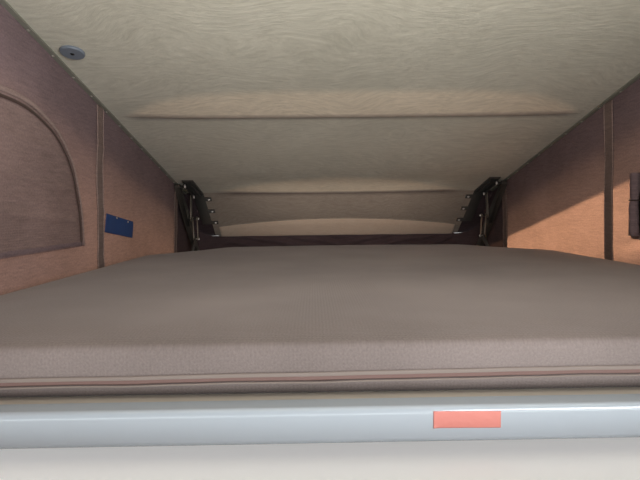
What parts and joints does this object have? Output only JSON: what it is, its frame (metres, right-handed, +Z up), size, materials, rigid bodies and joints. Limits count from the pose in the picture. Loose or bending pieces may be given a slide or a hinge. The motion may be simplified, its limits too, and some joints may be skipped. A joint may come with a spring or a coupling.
{
  "type": "elevating roof of a camper van",
  "caption": "Elevating roof of a camper van, standing open: white lid hinged low at the front on lift arms, brown canvas walls, beige ceiling and a bed with its mattress.",
  "frame": {"origin": "middle of the underside of the base frame, where it sits on the van's roof", "axes": "+X to the right side of the van, +Y to its front, where the lid is low, +Z up"},
  "size_m": [1.46, 2.9254, 0.9211],
  "materials": {
    "frame_paint": "white paint on steel",
    "seal_rubber": "black rubber",
    "bare_aluminium": "mill finish",
    "board_laminate": "laminated board",
    "edge_gloss": "glossy light grey",
    "mattress_cover": "woven taupe cover",
    "canvas_cloth": "brown tent cloth",
    "strap_webbing": "brown webbing",
    "insect_screen": "black mesh",
    "blue_cloth": "blue woven label, blank",
    "lid_gelcoat": "white gelcoat",
    "headliner_cloth": "beige suede-like cloth",
    "grey_plastic": "grey plastic",
    "black_steel": "black powder coat",
    "bright_steel": "zinc plated"
  },
  "bodies": {
    "base": {"base_frame": "frame_paint", "frame_seal": "seal_rubber", "canvas_rail": "bare_aluminium", "bed_rails": "bare_aluminium", "bed_board": "board_laminate", "bed_edge_profile": "edge_gloss", "mattress": "mattress_cover", "canvas_front": "canvas_cloth", "canvas_rear": "canvas_cloth", "canvas_left": "canvas_cloth", "canvas_right": "canvas_cloth", "canvas_straps_left": "strap_webbing", "canvas_straps_right": "strap_webbing", "window_flap_left": "canvas_cloth", "window_screen_right": "insect_screen", "window_flap_roll_right": "canvas_cloth", "canvas_label": "blue_cloth", "frame_bracket_left": "black_steel", "frame_bracket_right": "black_steel", "strut_foot_left": "black_steel", "strut_foot_right": "black_steel"},
    "arms": {"lift_arm_left": "black_steel", "lift_arm_right": "black_steel"},
    "rods": {"twin_rods_left": "bright_steel", "twin_rods_right": "bright_steel"},
    "cranks": {"crank_left": "black_steel", "crank_right": "black_steel"},
    "lid": {"lid_shell": "lid_gelcoat", "headliner": "headliner_cloth", "front_liner": "headliner_cloth", "lip_strip": "bare_aluminium", "edge_strips": "bare_aluminium", "ceiling_cap": "grey_plastic", "roof_bracket_left": "black_steel", "roof_bracket_right": "black_steel", "strut_lug_left": "black_steel", "strut_lug_right": "black_steel"},
    "check_links": {"check_link_left": "bright_steel", "check_link_right": "bright_steel"},
    "strut_cylinders": {"strut_cylinder_left": "black_steel", "strut_cylinder_right": "black_steel"},
    "strut_rods": {"strut_rod_left": "bright_steel", "strut_rod_right": "bright_steel"}
  },
  "joints": [
    {"name": "arm_hinge", "type": "hinge", "parent": "base", "child": "arms", "pos_m": [0, 1.3, 0.042], "axis": [1, 0, 0], "range_deg": [0, 27.6], "deforming": ["canvas_front", "canvas_rear", "canvas_left", "canvas_right", "canvas_straps_left", "canvas_straps_right", "window_flap_left", "window_screen_right", "window_flap_roll_right", "canvas_label"]},
    {"name": "lid_hinge", "type": "hinge", "parent": "arms", "child": "lid", "pos_m": [0, 0.99469, 0.33478], "axis": [1, 0, 0], "range_deg": [-14.12, 0]},
    {"name": "rods_hinge", "type": "hinge", "parent": "arms", "child": "rods", "pos_m": [0, 1.12822, 0.20673], "axis": [1, 0, 0], "range_deg": [0, 36.66]},
    {"name": "crank_hinge", "type": "hinge", "parent": "base", "child": "cranks", "pos_m": [0, 1.05, 0.066], "axis": [1, 0, 0], "range_deg": [-23.05, 0]},
    {"name": "check_hinge", "type": "hinge", "parent": "lid", "child": "check_links", "pos_m": [0, 1.1398, 0.29788], "axis": [1, 0, 0], "range_deg": [0, 23.16]},
    {"name": "strut_hinge", "type": "hinge", "parent": "base", "child": "strut_cylinders", "pos_m": [0, -1.32, 0.06], "axis": [1, 0, 0], "range_deg": [-32.87, 0]},
    {"name": "strut_slide", "type": "slide", "parent": "strut_cylinders", "child": "strut_rods", "axis": [0, 0.7915, 0.6112], "range_m": [-0.3357, 0]}
  ],
  "couplings": [
    {"joint": "lid_hinge", "follows": "arm_hinge", "ratio": -0.5109},
    {"joint": "rods_hinge", "follows": "arm_hinge", "ratio": 1.3276},
    {"joint": "crank_hinge", "follows": "arm_hinge", "ratio": -0.83436},
    {"joint": "check_hinge", "follows": "arm_hinge", "ratio": 0.83819},
    {"joint": "strut_hinge", "follows": "arm_hinge", "ratio": -1.1903},
    {"joint": "strut_slide", "follows": "arm_hinge", "m_per_rad": -0.69582}
  ]
}
